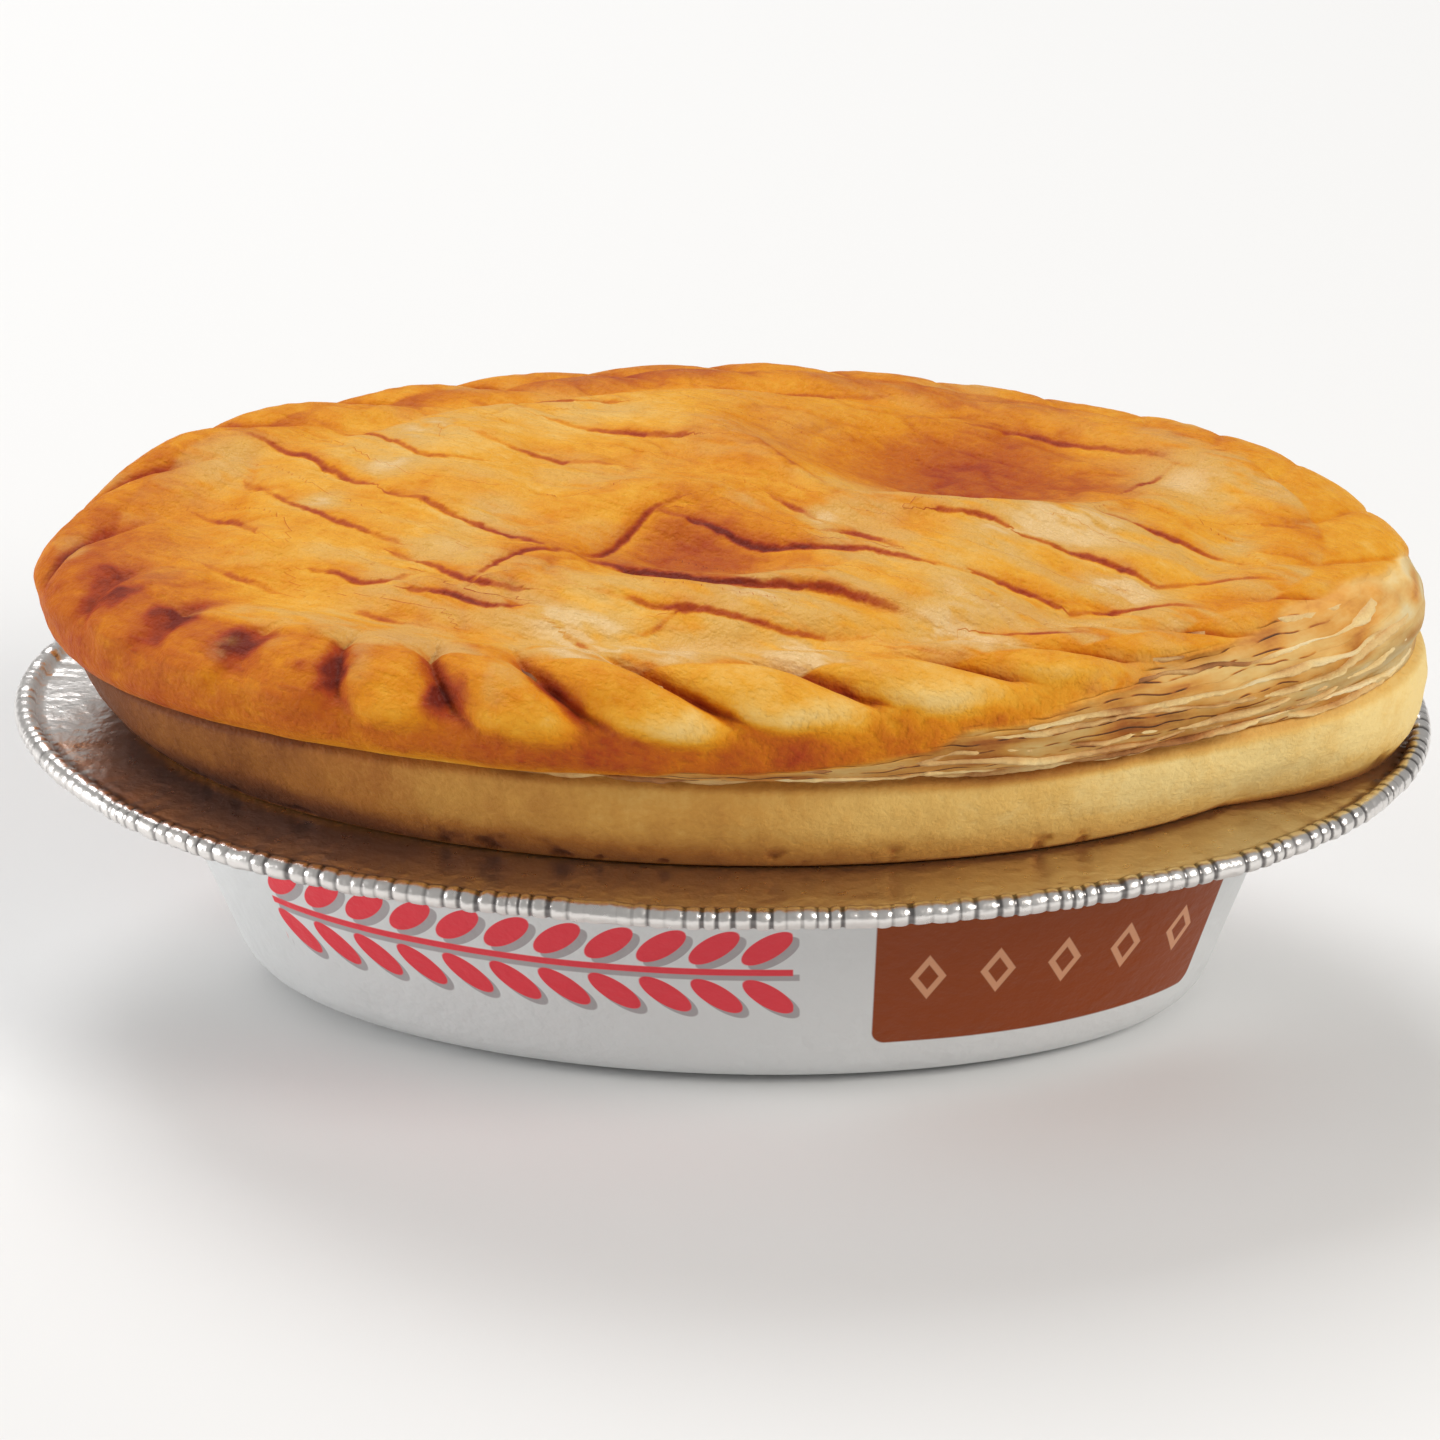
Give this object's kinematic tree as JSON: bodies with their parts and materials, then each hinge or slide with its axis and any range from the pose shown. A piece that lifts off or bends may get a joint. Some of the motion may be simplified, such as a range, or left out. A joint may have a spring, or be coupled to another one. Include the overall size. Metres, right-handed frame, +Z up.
{
  "type": "savoury pie in a foil tin",
  "caption": "Oval savoury pie with a crimped, slashed puff pastry lid, standing above the wide flange of its own pressed foil tin.",
  "frame": {"origin": "middle of the tin's flat base", "axes": "+X along the pie's long axis, +Z up, +Y towards the side away from the picture's camera"},
  "size_m": [0.1498, 0.0998, 0.0587],
  "materials": {
    "foil": "pressed foil, bare on the flange and inside, white lacquer with printed colour fields outside",
    "short_crust": "baked short-crust pastry, matt",
    "puff_pastry": "baked, egg-washed puff pastry, satin"
  },
  "bodies": {
    "root": {"foil_tin": "foil", "lower_crust": "short_crust", "lid": "puff_pastry"}
  },
  "joints": []
}
